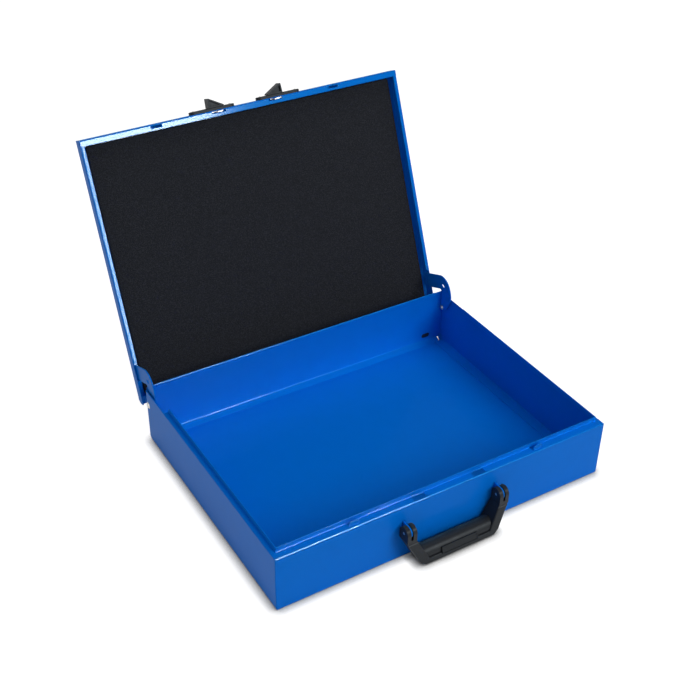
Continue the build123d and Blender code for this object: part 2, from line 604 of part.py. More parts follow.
with BuildPart() as handle:
    extrude(outline(Plane.XZ, both_sides(handle_right)), amount=DEPTH)
    with BuildSketch(Plane.YZ):
        with Locations((HANDLE_Y, HANDLE_HEIGHT)):
            Circle(HANDLE_LUG_RADIUS)
        add(outline(Plane.XY, handle_side_view))
    extrude(amount=SIDE, both=True, mode=Mode.INTERSECT)
    extrude(outline(Plane.XZ, both_sides(finger_gap_right)), amount=DEPTH, mode=Mode.SUBTRACT)
    front_face = faces().filter_by(GeomType.PLANE).sort_by(Axis.Y)[0]
    fillet(front_face.edges(), HANDLE_EDGE)
    with BuildSketch(Plane.YZ):
        with Locations((HANDLE_Y - GRIP_FORWARD, GRIP_HEIGHT)):
            Circle(GRIP_RADIUS)
        with Locations((HANDLE_Y, HANDLE_BOTTOM)):
            Rectangle(DEPTH, HANDLE_HEIGHT, align=(Align.CENTER, Align.MAX), mode=Mode.SUBTRACT)
    extrude(amount=HANDLE_INNER_HALF + GRIP_BURIED, both=True)
    # plain framed plate on the front of the grip
    plate_slope = radians(PLATE_TILT)
    plate_middle = (0, HANDLE_Y - PLATE_FORWARD, PLATE_MIDDLE)
    plate_plane = Plane(plate_middle, x_dir=(1, 0, 0), z_dir=(0, -cos(plate_slope), sin(plate_slope)))
    with BuildSketch(plate_plane):
        RectangleRounded(2 * PLATE_HALF, PLATE_HEIGHT, PLATE_ROUND)
    extrude(amount=-PLATE_DEPTH)
    with BuildSketch(plate_plane):
        Rectangle(2 * (PLATE_HALF - PLATE_BORDER), PLATE_HEIGHT - 2 * PLATE_BORDER)
    extrude(amount=-PLATE_RECESS, mode=Mode.SUBTRACT)
    # slits that make the forks, and the pin holes
    with BuildSketch(Plane.XZ.offset(-HANDLE_Y)):
        fork_bottom = HANDLE_HEIGHT - BRACKET_NOSE - BRACKET_SLIT_END_GAP
        with Locations((LUG_X, fork_bottom), (-LUG_X, fork_bottom)):
            Rectangle(HANDLE_SLIT, HANDLE_HEIGHT, align=(Align.CENTER, Align.MIN))
    extrude(amount=2 * HANDLE_LUG_RADIUS, both=True, mode=Mode.SUBTRACT)
    with BuildSketch(Plane.YZ):
        with Locations((HANDLE_Y, HANDLE_HEIGHT)):
            Circle(PIN_RADIUS + PIVOT_FIT)
    extrude(amount=SIDE, both=True, mode=Mode.SUBTRACT)

# Latch frames on the front of the lid
track_in = SHOE_IN - SLIDE_GAP
track_out = SHOE_OUT + LATCH_TRAVEL + SLIDE_GAP
with BuildPart() as latch_frame_right:
    with BuildSketch(Plane.XZ.offset(REAR)):
        with Locations((LATCH_X, LATCH_Z)):
            SlotOverall(LATCH_LENGTH, LATCH_HEIGHT)
    extrude(amount=LATCH_THICKNESS)
    fillet(faces().sort_by(Axis.Y)[0].edges(), LATCH_EDGE)
    with BuildSketch(Plane.XZ.offset(REAR)):
        with Locations(((track_in + track_out) / 2, LATCH_Z)):
            Rectangle(track_out - track_in, TRACK_HEIGHT)
        with Locations((frame_rivet_in, LATCH_Z), (frame_rivet_out, LATCH_Z)):
            Circle(FRAME_RIVET_SHANK + PIVOT_FIT)
    extrude(amount=2 * LATCH_THICKNESS, mode=Mode.SUBTRACT)
with BuildPart() as latch_frame_left:
    mirror(latch_frame_right.part, about=Plane.YZ)
with BuildPart() as latch_frame_rivets:
    frame_head = (FRAME_RIVET_HEAD, FRAME_RIVET_RISE)
    for frame_rivet_x in (frame_rivet_in, frame_rivet_out):
        head_middle = (frame_rivet_x, FRONT - LATCH_THICKNESS, LATCH_Z)
        frame_plane = Plane(head_middle, x_dir=(1, 0, 0), z_dir=(0, 1, 0))
        add(rivet(frame_plane, LATCH_THICKNESS + SHEET, FRAME_RIVET_SHANK, *frame_head, *frame_head))
    mirror(about=Plane.YZ)

# Latch sliders: a shoe in the frame's track and a three-cornered thumb fin over it
fin_face = FRONT - LATCH_THICKNESS - SLIDE_GAP
fin_tip = FRONT - FIN_REACH
fin_plan = [
    ((FIN_IN, fin_face), 0),
    ((FIN_OUT, fin_face), 0),
    ((FIN_TIP_OUT, fin_tip), FIN_ROUND),
    ((FIN_TIP_IN, fin_tip), FIN_ROUND),
    ((FIN_IN, fin_face - FIN_ROOT), 0),
]
fin_low = LATCH_Z - FIN_HEIGHT / 2
with BuildPart() as latch_slider_right:
    extrude(outline(Plane.XY.offset(fin_low), fin_plan), amount=FIN_HEIGHT)
    # both sides of the fin are hollowed within a border
    with BuildSketch(Plane.XY.offset(fin_low)):
        add(outline(Plane.XY, fin_plan))
        offset(amount=-FIN_BORDER)
    extrude(amount=FIN_RECESS, mode=Mode.SUBTRACT)
    with BuildSketch(Plane.XY.offset(fin_low + FIN_HEIGHT)):
        add(outline(Plane.XY, fin_plan))
        offset(amount=-FIN_BORDER)
    extrude(amount=-FIN_RECESS, mode=Mode.SUBTRACT)
    with BuildSketch(Plane.XZ.offset(REAR + SLIDE_GAP)):
        with Locations(((SHOE_IN + SHOE_OUT) / 2, LATCH_Z)):
            Rectangle(SHOE_OUT - SHOE_IN, TRACK_HEIGHT - 2 * SLIDE_GAP)
    extrude(amount=LATCH_THICKNESS)
    with BuildSketch(Plane.XZ.offset(REAR + SLIDE_GAP)):
        with Locations((HOOK_RIVET_IN, LATCH_Z), (HOOK_RIVET_OUT, LATCH_Z)):
            Circle(HOOK_RIVET_SHANK + PIVOT_FIT)
    extrude(amount=HOOK_RIVET_DEPTH, mode=Mode.SUBTRACT)
with BuildPart() as latch_slider_left:
    mirror(latch_slider_right.part, about=Plane.YZ)

# Latch hooks: a plate behind the lid's front wall, whose barb slides under the base's shelf
barb_top = RIM_HEIGHT - SHEET - HOOK_CLEAR
barb_bottom = barb_top - HOOK_BARB_THICKNESS
hook_plate_low = LID_RIM + SHEET + HOOK_GAP
hook_front_view = [
    ((HOOK_PLATE_IN, LATCH_Z + HOOK_PLATE_TOP), SHEET),
    ((HOOK_PLATE_IN, hook_plate_low), 0),
    ((HOOK_STEM_IN, hook_plate_low), 0),
    ((HOOK_STEM_IN, barb_bottom), SHEET),
    ((HOOK_BARB_OUT - HOOK_LEAD, barb_bottom), 0),
    ((HOOK_BARB_OUT, barb_top - HOOK_BARB_THICKNESS / 2), 0),
    ((HOOK_BARB_OUT, barb_top), 0),
    ((HOOK_STEM_OUT, barb_top), 0),
    ((HOOK_STEM_OUT, hook_plate_low), 0),
    ((HOOK_PLATE_OUT, hook_plate_low), 0),
    ((HOOK_PLATE_OUT, LATCH_Z + HOOK_PLATE_TOP), SHEET),
]
with BuildPart() as latch_hook_right:
    extrude(outline(Plane.XZ.offset(-HOOK_FACE), hook_front_view), amount=-HOOK_SHEET)
    with BuildSketch(Plane.XZ.offset(-HOOK_FACE)):
        with Locations((HOOK_RIVET_IN, LATCH_Z), (HOOK_RIVET_OUT, LATCH_Z)):
            Circle(HOOK_RIVET_SHANK + PIVOT_FIT)
    extrude(amount=-2 * HOOK_SHEET, mode=Mode.SUBTRACT)
with BuildPart() as latch_hook_left:
    mirror(latch_hook_right.part, about=Plane.YZ)
hook_rivet_grip = HOOK_FACE + HOOK_SHEET - (FRONT - SLIDE_GAP - HOOK_RIVET_DEPTH) - PLAY
with BuildPart() as hook_rivets_right:
    for hook_rivet_x in (HOOK_RIVET_IN, HOOK_RIVET_OUT):
        head_middle = (hook_rivet_x, HOOK_FACE + HOOK_SHEET, LATCH_Z)
        hook_plane = Plane(head_middle, x_dir=(1, 0, 0), z_dir=(0, -1, 0))
        add(rivet(hook_plane, hook_rivet_grip, HOOK_RIVET_SHANK, HOOK_RIVET_HEAD, HOOK_RIVET_RISE))
with BuildPart() as hook_rivets_left:
    mirror(hook_rivets_right.part, about=Plane.YZ)

base_pieces = {
    "base_tray": base_tray,
    "base_end_left": base_end_left,
    "base_end_right": base_end_right,
    "hinge_rivets": hinge_rivets,
    "hinge_washers": hinge_washers,
    "handle_bracket_left": handle_bracket_left,
    "handle_bracket_right": handle_bracket_right,
    "handle_pins": handle_pins,
    "rear_buffers": rear_buffers,
    "handle": handle,
}
lid_pieces = {
    "lid_tray": lid_tray,
    "lid_end_left": lid_end_left,
    "lid_end_right": lid_end_right,
    "hinge_ear_left": hinge_ear_left,
    "hinge_ear_right": hinge_ear_right,
    "foam_pad": foam_pad,
    "latch_frame_left": latch_frame_left,
    "latch_frame_right": latch_frame_right,
    "latch_frame_rivets": latch_frame_rivets,
    "latch_slider_left": latch_slider_left,
    "latch_slider_right": latch_slider_right,
    "latch_hook_left": latch_hook_left,
    "latch_hook_right": latch_hook_right,
    "hook_rivets_left": hook_rivets_left,
    "hook_rivets_right": hook_rivets_right,
}
hinge_line = Axis((0, HINGE_Y, HINGE_Z), (1, 0, 0))


def write(piece, name):
    """Label one piece and write it as a STEP file."""
    piece.label = name
    export_step(piece, f"parts/{name}.step")


os.makedirs("parts", exist_ok=True)
for name, piece in base_pieces.items():
    write(piece.part, name)
for name, piece in lid_pieces.items():
    write(piece.part.rotate(hinge_line, -OPENING), name)
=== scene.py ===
import json
from math import radians

import bmesh
import bpy
from bpy.props import FloatProperty, FloatVectorProperty, PointerProperty
from bpy.types import Operator, Panel, PropertyGroup
from mathutils import Matrix, Vector


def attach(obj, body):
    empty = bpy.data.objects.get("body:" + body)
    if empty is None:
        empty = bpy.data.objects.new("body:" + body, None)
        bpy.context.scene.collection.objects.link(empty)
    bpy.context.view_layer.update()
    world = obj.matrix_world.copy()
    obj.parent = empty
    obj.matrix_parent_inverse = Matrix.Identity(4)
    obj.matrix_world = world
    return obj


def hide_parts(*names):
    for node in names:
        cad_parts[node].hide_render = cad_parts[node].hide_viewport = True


bl_info = {
    "name": "Sheet-Steel Case",
    "version": (1, 0, 0),
    "blender": (4, 5, 0),
    "location": "View3D > Sidebar > Steel Case",
    "description": "Powder coat, zinc, moulded plastic, foam pad and studio for a hinged sheet-steel case",
    "category": "Object",
}

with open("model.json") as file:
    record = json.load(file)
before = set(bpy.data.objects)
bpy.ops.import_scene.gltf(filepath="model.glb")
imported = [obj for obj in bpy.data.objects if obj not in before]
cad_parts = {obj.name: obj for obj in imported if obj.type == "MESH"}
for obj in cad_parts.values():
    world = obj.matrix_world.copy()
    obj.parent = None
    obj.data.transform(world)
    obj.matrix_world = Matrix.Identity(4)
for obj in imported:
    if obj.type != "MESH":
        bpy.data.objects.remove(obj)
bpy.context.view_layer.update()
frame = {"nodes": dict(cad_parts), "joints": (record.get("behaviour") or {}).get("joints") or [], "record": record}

# The lid's hinge and how far it turns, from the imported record.
LID_HINGE = next(joint for joint in frame["joints"] if joint["name"] == "lid_hinge")
HINGE_LINE = Vector(LID_HINGE["pos_m"])
LID_OPENING = radians(LID_HINGE["range_deg"][1])

# The folds of the base tray's floor lie below the first height, and its plain edges above the second.
FOLDS_BELOW, EDGES_ABOVE = 0.012, 0.02

# How bright the surroundings are in reflections, where 1 is what the camera sees. The share of the whole comes first,
# then the room's walls and its ceiling, which is reached between two heights of the direction's z.
MIRRORED_SHARE = 0.7
MIRRORED_WALLS, MIRRORED_CEILING = 0.8, 0.28
CEILING_STARTS, CEILING_ENDS = 0.2, 0.7

# The soft boxes for glints stand in one plane in front of the case, faintly cool.
GLINT_PLANE = -2.39
GLINT_TINT = (0.88, 1, 1)


def nodes_with_slot(slot):
    """The CAD nodes that the record gives this material slot."""
    return [frame["nodes"][row["node"]] for row in frame["record"]["subparts"] if row["material_slot"] == slot]


class PowderCoatSettings(PropertyGroup):
    colour: FloatVectorProperty(
        name="Blue", description="Colour of the powder coat", subtype="COLOR", size=3, min=0, max=1,
        default=(0.0, 0.165, 0.715))
    roughness: FloatProperty(
        name="Roughness", description="How matt the powder coat is", subtype="FACTOR", min=0, max=1, default=0.34)
    skin: FloatProperty(
        name="Skin", description="Weight of the coat's clear, smoother skin", subtype="FACTOR", min=0, max=1,
        default=0.045)
    edge: FloatProperty(
        name="Edge", description="How softly the coat runs over folds and edges", subtype="DISTANCE", unit="LENGTH",
        precision=5, default=0.0006)
    fold: FloatProperty(
        name="Fold", description="How softly the coat fills the folds of the base tray", subtype="DISTANCE",
        unit="LENGTH", precision=5, default=0.002)
    peel_size: FloatProperty(
        name="Orange Peel Size", description="Distance between two ripples of the coat's skin", subtype="DISTANCE",
        unit="LENGTH", default=0.0018)
    peel_depth: FloatProperty(
        name="Orange Peel Depth", description="Height of the ripples", subtype="DISTANCE", unit="LENGTH",
        precision=6, default=0.000003)


class HardwareSettings(PropertyGroup):
    zinc: FloatVectorProperty(
        name="Zinc", description="Colour of the plated rivets, pins and hooks", subtype="COLOR", size=3, min=0, max=1,
        default=(0.66, 0.65, 0.62))
    plastic: FloatVectorProperty(
        name="Plastic", description="Colour of the handle and the latches", subtype="COLOR", size=3, min=0, max=1,
        default=(0.0105, 0.0115, 0.0145))
    plastic_roughness: FloatProperty(
        name="Plastic Roughness", description="How matt the moulded plastic is", subtype="FACTOR", min=0, max=1,
        default=0.42)
    grain_size: FloatProperty(
        name="Grain Size", description="Size of the spark-eroded grain on the plastic", subtype="DISTANCE",
        unit="LENGTH", precision=5, default=0.0005)


class FoamPadSettings(PropertyGroup):
    length: FloatProperty(
        name="Length", description="Across the lid", subtype="DISTANCE", unit="LENGTH", default=0.423)
    shift: FloatProperty(
        name="Shift", description="How far to the right of the middle it is glued", subtype="DISTANCE", unit="LENGTH",
        default=0.001)
    width: FloatProperty(
        name="Width", description="From the lid's front to its hinges", subtype="DISTANCE", unit="LENGTH",
        default=0.312)
    thickness: FloatProperty(
        name="Thickness", description="Thickness of the foam sheet", subtype="DISTANCE", unit="LENGTH",
        default=0.004)
    edge: FloatProperty(
        name="Edge", description="Rounding of the cut edges", subtype="DISTANCE", unit="LENGTH", default=0.0014)
    glued_height: FloatProperty(
        name="Glued Height", description="Height of the glued face with the lid closed", subtype="DISTANCE",
        unit="LENGTH", default=0.091)
    colour: FloatVectorProperty(
        name="Foam", description="Colour of the foam", subtype="COLOR", size=3, min=0, max=1,
        default=(0.0215, 0.0235, 0.0285))
    pore_size: FloatProperty(
        name="Pore Size", description="Width of the open pores", subtype="DISTANCE", unit="LENGTH", precision=5,
        default=0.0011)


class StudioSettings(PropertyGroup):
    camera_place: FloatVectorProperty(
        name="Camera Place", description="Where the camera stands", subtype="TRANSLATION", unit="LENGTH", size=3,
        default=(-0.61214, -0.93004, 0.94606))
    camera_heading: FloatProperty(
        name="Heading", description="Turn of the view to the right of straight ahead", subtype="ANGLE",
        default=radians(31.364))
    camera_pitch: FloatProperty(
        name="Pitch", description="How far the camera looks down", subtype="ANGLE", default=radians(34.849))
    camera_roll: FloatProperty(
        name="Roll", description="Tilt of the camera about its own axis", subtype="ANGLE", default=radians(0.772))
    lens: FloatProperty(
        name="Lens", description="Focal length on a 36 mm sensor", subtype="DISTANCE_CAMERA", unit="CAMERA",
        default=62.509)
    sky: FloatProperty(
        name="Room Light", description="Even light from all sides", min=0, default=0.31)
    key: FloatProperty(
        name="Key Lamp", description="Soft box in front of the case, to the right", subtype="POWER", unit="POWER",
        default=33.0)
    glint: FloatProperty(
        name="Glint Lamps", description="Power of the smallest soft box that only gloss on the blue sheets reflects",
        subtype="POWER", unit="POWER", default=290.0)
    top: FloatProperty(
        name="Top Lamp", description="Soft box above the case", subtype="POWER", unit="POWER", default=11.0)
    side: FloatProperty(
        name="Side Lamp", description="Low soft box on the left, as light thrown back from a wide floor",
        subtype="POWER", unit="POWER", default=3.0)
    floor_lift: FloatProperty(
        name="Floor Lift", description="Glow of the white floor as the camera and reflections see it", min=0,
        default=0.95)
    # Reach of the painted contact shadow that ambient occlusion draws into the floor's glow.
    painted_contact_shadow: FloatProperty(
        name="Contact Shadow", description="How far the dark line where the case stands reaches", subtype="DISTANCE",
        unit="LENGTH", default=0.012)


# Finishes

def new_finish(name):
    """A material with a shader, its output and Object coordinates to build on."""
    finish = bpy.data.materials.new(name)
    finish.use_nodes = True
    tree = finish.node_tree
    tree.nodes.clear()
    output = tree.nodes.new("ShaderNodeOutputMaterial")
    shader = tree.nodes.new("ShaderNodeBsdfPrincipled")
    place = tree.nodes.new("ShaderNodeTexCoord")
    tree.links.new(shader.outputs["BSDF"], output.inputs["Surface"])
    return finish, tree, shader, place.outputs["Object"]


def noise(tree, place, size, detail=2.0, rough=0.5):
    """A noise whose features are about this size, in metres."""
    pattern = tree.nodes.new("ShaderNodeTexNoise")
    pattern.inputs["Scale"].default_value = 1 / size
    pattern.inputs["Detail"].default_value = detail
    pattern.inputs["Roughness"].default_value = rough
    tree.links.new(place, pattern.inputs["Vector"])
    return pattern.outputs["Fac"]


def ranged(tree, value, low, high, source=(0.3, 0.7)):
    """The pattern's values between low and high."""
    spread = tree.nodes.new("ShaderNodeMapRange")
    spread.inputs["From Min"].default_value = source[0]
    spread.inputs["From Max"].default_value = source[1]
    spread.inputs["To Min"].default_value = low
    spread.inputs["To Max"].default_value = high
    tree.links.new(value, spread.inputs["Value"])
    return spread.outputs["Result"]


def tinted(tree, value, low, high, source=(0.3, 0.7)):
    """A colour that goes from low to high with the pattern."""
    ramp = tree.nodes.new("ShaderNodeValToRGB")
    ramp.color_ramp.elements[0].position = source[0]
    ramp.color_ramp.elements[1].position = source[1]
    ramp.color_ramp.elements[0].color = (*low, 1)
    ramp.color_ramp.elements[1].color = (*high, 1)
    tree.links.new(value, ramp.inputs["Fac"])
    return ramp.outputs["Color"]


def raised(tree, height, depth, strength=1.0, under=None):
    """The surface's normal with the pattern raised by this depth, in metres."""
    bump = tree.nodes.new("ShaderNodeBump")
    bump.inputs["Strength"].default_value = strength
    bump.inputs["Distance"].default_value = depth
    tree.links.new(height, bump.inputs["Height"])
    if under is not None:
        tree.links.new(under, bump.inputs["Normal"])
    return bump.outputs["Normal"]


def shade_of(colour, factor):
    """The colour, lighter or darker by this factor."""
    return tuple(min(1.0, part * factor) for part in colour)


def wear(nodes, finish):
    """Puts the finish on the CAD nodes through their objects' material slots."""
    for node in nodes:
        for slot in node.material_slots:
            slot.material = finish


def coat_finish(name, settings, fold):
    """Powder coat that runs softly over edges, and over the folds low on the piece with this radius."""
    finish, tree, shader, place = new_finish(name)
    blue = tuple(settings.colour)
    colour = tinted(tree, noise(tree, place, 0.02, detail=4), shade_of(blue, 0.985), shade_of(blue, 1.015))
    tree.links.new(colour, shader.inputs["Base Color"])
    gloss = ranged(tree, noise(tree, place, 0.03, detail=3), settings.roughness * 0.96, settings.roughness * 1.04)
    tree.links.new(gloss, shader.inputs["Roughness"])
    # Head-on, the gloss is weak and blue-green, as the photo's blue has no grey in it. The thin skin glints white.
    shader.inputs["Specular IOR Level"].default_value = 0.045
    shader.inputs["Specular Tint"].default_value = (0.0, 0.4, 0.5, 1)
    shader.inputs["Sheen Weight"].default_value = 0.2
    shader.inputs["Sheen Roughness"].default_value = 0.3
    shader.inputs["Sheen Tint"].default_value = (0.1, 1.0, 0.9, 1)
    shader.inputs["Coat Weight"].default_value = settings.skin
    shader.inputs["Coat Roughness"].default_value = 0.1
    pooled = tree.nodes.new("ShaderNodeBevel")
    pooled.samples = 8
    parts = tree.nodes.new("ShaderNodeSeparateXYZ")
    tree.links.new(place, parts.inputs[0])
    radius = ranged(tree, parts.outputs["Z"], fold, settings.edge, source=(FOLDS_BELOW, EDGES_ABOVE))
    tree.links.new(radius, pooled.inputs["Radius"])
    peel = raised(tree, noise(tree, place, settings.peel_size, detail=1.5), settings.peel_depth,
                  under=pooled.outputs["Normal"])
    tree.links.new(peel, shader.inputs["Normal"])
    tree.links.new(peel, shader.inputs["Coat Normal"])
    return finish


class CASE_OT_powder_coat(Operator):
    """Blue powder coat with a fine orange peel on the folded sheets, the ears and the handle's brackets"""
    bl_idname = "steel_case.powder_coat"
    bl_label = "Powder Coat"

    def execute(self, context):
        settings = context.scene.case_powder_coat
        # The base tray's fold radius is its own, and everywhere else a fold is as soft as an edge.
        wear(nodes_with_slot("blue_steel"), coat_finish("blue_powder_coat", settings, settings.edge))
        wear([frame["nodes"]["base_tray"]], coat_finish("blue_coat_in_folds", settings, settings.fold))
        return {"FINISHED"}


class CASE_OT_zinc_hardware(Operator):
    """Zinc plating on the rivets, washers, pins and latch hooks"""
    bl_idname = "steel_case.zinc_hardware"
    bl_label = "Zinc Hardware"

    def execute(self, context):
        settings = context.scene.case_hardware
        finish, tree, shader, place = new_finish("zinc_plated_steel")
        zinc = tuple(settings.zinc)
        colour = tinted(tree, noise(tree, place, 0.0016, detail=5), shade_of(zinc, 0.88), shade_of(zinc, 1.06))
        tree.links.new(colour, shader.inputs["Base Color"])
        gloss = ranged(tree, noise(tree, place, 0.0009, detail=3), 0.26, 0.42)
        tree.links.new(gloss, shader.inputs["Roughness"])
        shader.inputs["Metallic"].default_value = 1.0
        grain = raised(tree, noise(tree, place, 0.0004, detail=2), 0.000006)
        tree.links.new(grain, shader.inputs["Normal"])
        wear(nodes_with_slot("bare_steel"), finish)
        return {"FINISHED"}


class CASE_OT_moulded_plastic(Operator):
    """Black moulded plastic with a spark-eroded grain on the handle and the latches"""
    bl_idname = "steel_case.moulded_plastic"
    bl_label = "Moulded Plastic"

    def execute(self, context):
        settings = context.scene.case_hardware
        finish, tree, shader, place = new_finish("black_moulded_plastic")
        black = tuple(settings.plastic)
        colour = tinted(tree, noise(tree, place, 0.004, detail=5), shade_of(black, 0.85), shade_of(black, 1.2))
        tree.links.new(colour, shader.inputs["Base Color"])
        matt = settings.plastic_roughness
        gloss = ranged(tree, noise(tree, place, 0.006, detail=4), matt * 0.9, matt * 1.1)
        tree.links.new(gloss, shader.inputs["Roughness"])
        shader.inputs["Specular IOR Level"].default_value = 0.3
        shader.inputs["Specular Tint"].default_value = (0.85, 0.95, 1, 1)
        grain = raised(tree, noise(tree, place, settings.grain_size, detail=3, rough=0.6), 0.00003)
        tree.links.new(grain, shader.inputs["Normal"])
        wear(nodes_with_slot("black_plastic"), finish)
        return {"FINISHED"}


# The foam pad in the lid

def foam_finish(settings):
    """Black open-pored foam."""
    finish, tree, shader, place = new_finish("black_foam")
    foam = tuple(settings.colour)
    pores = tree.nodes.new("ShaderNodeTexVoronoi")
    pores.feature = "SMOOTH_F1"
    pores.inputs["Scale"].default_value = 1 / settings.pore_size
    pores.inputs["Smoothness"].default_value = 0.35
    tree.links.new(place, pores.inputs["Vector"])
    cells = pores.outputs["Distance"]
    # Painted shade: the pits of the pores are coloured darker and the raised cell walls lighter, following the cells
    # that also shape the bump.
    colour = tinted(tree, cells, shade_of(foam, 0.55), shade_of(foam, 1.5), source=(0.15, 0.75))
    tree.links.new(colour, shader.inputs["Base Color"])
    shader.inputs["Roughness"].default_value = 0.95
    shader.inputs["Specular IOR Level"].default_value = 0.02
    shader.inputs["Sheen Weight"].default_value = 0.03
    shader.inputs["Sheen Roughness"].default_value = 0.5
    speckle = raised(tree, noise(tree, place, settings.pore_size * 0.6, detail=3), 0.00025)
    walls = raised(tree, cells, 0.0004, under=speckle)
    tree.links.new(walls, shader.inputs["Normal"])
    return finish


def pick(obj, kind, test):
    """In edit mode, selects the faces or edges whose middle and normal or direction pass the test."""
    bpy.ops.mesh.select_all(action="DESELECT")
    bpy.ops.mesh.select_mode(type="FACE" if kind == "FACE" else "EDGE")
    skin = bmesh.from_edit_mesh(obj.data)
    if kind == "FACE":
        for face in skin.faces:
            if test(face.calc_center_median(), face.normal):
                face.select_set(True)
    else:
        for edge in skin.edges:
            start, end = edge.verts
            if test((start.co + end.co) / 2, (end.co - start.co).normalized()):
                edge.select_set(True)
    skin.select_flush_mode()
    bmesh.update_edit_mesh(obj.data)


class CASE_OT_foam_pad(Operator):
    """The foam pad glued to the inside of the lid"""
    bl_idname = "steel_case.foam_pad"
    bl_label = "Foam Pad"

    def execute(self, context):
        settings = context.scene.case_foam_pad
        half_length, half_width = settings.length / 2, settings.width / 2
        glued = settings.glued_height
        soft = glued - settings.thickness
        # Drawn as it lies with the lid closed, its soft face down, then turned open with the lid.
        bpy.ops.object.select_all(action="DESELECT")
        bpy.ops.mesh.primitive_grid_add(x_subdivisions=120, y_subdivisions=90, size=1,
                                        location=(settings.shift, 0, glued))
        pad = context.object
        pad.name = "lid_foam"
        pad.scale = (settings.length, settings.width, 1)
        bpy.ops.object.transform_apply(location=True, rotation=True, scale=True)
        bpy.ops.object.mode_set(mode="EDIT")
        bpy.ops.mesh.select_all(action="SELECT")
        bpy.ops.mesh.extrude_region_move(TRANSFORM_OT_translate={"value": (0, 0, -settings.thickness)})
        pick(pad, "EDGE", lambda middle, along: abs(along.z) > 0.9
             and abs(abs(middle.x - settings.shift) - half_length) < 1e-5 and abs(abs(middle.y) - half_width) < 1e-5)
        bpy.ops.mesh.bevel(offset=0.003, offset_type="OFFSET", segments=4, affect="EDGES")
        bpy.ops.mesh.select_all(action="SELECT")
        bpy.ops.mesh.normals_make_consistent(inside=False)
        bpy.ops.mesh.select_all(action="DESELECT")
        bpy.ops.mesh.select_mode(type="FACE")
        pick(pad, "FACE", lambda middle, normal: normal.z < -0.9)
        bpy.ops.mesh.region_to_loop()
        bpy.ops.mesh.bevel(offset=settings.edge, offset_type="OFFSET", segments=4, affect="EDGES")
        bpy.ops.mesh.select_all(action="SELECT")
        bpy.ops.transform.rotate(value=LID_OPENING, orient_axis="X", orient_type="GLOBAL",
                                 center_override=HINGE_LINE)
        bpy.ops.object.mode_set(mode="OBJECT")
        bpy.ops.object.shade_smooth_by_angle(angle=radians(35))
        pad.data.materials.append(foam_finish(settings))
        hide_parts("foam_pad")
        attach(pad, "lid")
        return {"FINISHED"}


# Studio

def seen_directly(tree):
    """1 for what the camera sees, less for reflections and glass, and 0 for light that falls on things."""
    ray = tree.nodes.new("ShaderNodeLightPath")
    mirrored = tree.nodes.new("ShaderNodeMath")
    mirrored.operation = "MAXIMUM"
    tree.links.new(ray.outputs["Is Glossy Ray"], mirrored.inputs[0])
    tree.links.new(ray.outputs["Is Transmission Ray"], mirrored.inputs[1])
    dulled = ranged(tree, mirrored.outputs[0], 0, MIRRORED_SHARE, source=(0, 1))
    seen = tree.nodes.new("ShaderNodeMath")
    seen.operation = "MAXIMUM"
    tree.links.new(ray.outputs["Is Camera Ray"], seen.inputs[0])
    tree.links.new(dulled, seen.inputs[1])
    return ray, seen.outputs[0]


def floor_finish(settings):
    """White floor that shows white to the camera and in reflections, keeps the case's real shadow, and has a painted
    contact shadow where the case stands close.
    """
    finish = bpy.data.materials.new("white_floor")
    finish.use_nodes = True
    tree = finish.node_tree
    tree.nodes.clear()
    output = tree.nodes.new("ShaderNodeOutputMaterial")
    paper = tree.nodes.new("ShaderNodeBsdfDiffuse")
    _, seen = seen_directly(tree)
    shade = ranged(tree, seen, 0.8, 0.3, source=(0, 1))
    tree.links.new(shade, paper.inputs["Color"])
    # The glow fades where the case stands close over the floor: a painted contact shadow, drawn from ambient
    # occlusion rather than cast by a lamp.
    under = tree.nodes.new("ShaderNodeAmbientOcclusion")
    under.samples = 4
    under.inputs["Distance"].default_value = settings.painted_contact_shadow
    strength = tree.nodes.new("ShaderNodeMath")
    strength.operation = "MULTIPLY"
    tree.links.new(seen, strength.inputs[0])
    tree.links.new(ranged(tree, under.outputs["AO"], 0, settings.floor_lift, source=(0.4, 1)), strength.inputs[1])
    glow = tree.nodes.new("ShaderNodeEmission")
    tree.links.new(strength.outputs[0], glow.inputs["Strength"])
    both = tree.nodes.new("ShaderNodeAddShader")
    tree.links.new(paper.outputs[0], both.inputs[0])
    tree.links.new(glow.outputs[0], both.inputs[1])
    tree.links.new(both.outputs[0], output.inputs["Surface"])
    return finish


def room(level):
    """The world: even light, plain white past the floor's edge, and a duller ceiling in reflections."""
    world = bpy.data.worlds.new("white_room")
    bpy.context.scene.world = world
    world.use_nodes = True
    tree = world.node_tree
    tree.nodes.clear()
    output = tree.nodes.new("ShaderNodeOutputWorld")
    light = tree.nodes.new("ShaderNodeBackground")
    light.inputs["Strength"].default_value = level
    white = tree.nodes.new("ShaderNodeBackground")
    white.inputs["Color"].default_value = (1, 1, 1, 1)
    ray, seen = seen_directly(tree)
    direction = tree.nodes.new("ShaderNodeTexCoord")
    parts = tree.nodes.new("ShaderNodeSeparateXYZ")
    tree.links.new(direction.outputs["Generated"], parts.inputs[0])
    ceiling = ranged(tree, parts.outputs["Z"], MIRRORED_WALLS, MIRRORED_CEILING,
                     source=(CEILING_STARTS, CEILING_ENDS))
    brightness = tree.nodes.new("ShaderNodeMath")
    brightness.operation = "MAXIMUM"
    tree.links.new(ray.outputs["Is Camera Ray"], brightness.inputs[0])
    tree.links.new(ceiling, brightness.inputs[1])
    tree.links.new(brightness.outputs[0], white.inputs["Strength"])
    choice = tree.nodes.new("ShaderNodeMixShader")
    tree.links.new(seen, choice.inputs["Fac"])
    tree.links.new(light.outputs[0], choice.inputs[1])
    tree.links.new(white.outputs[0], choice.inputs[2])
    tree.links.new(choice.outputs[0], output.inputs["Surface"])


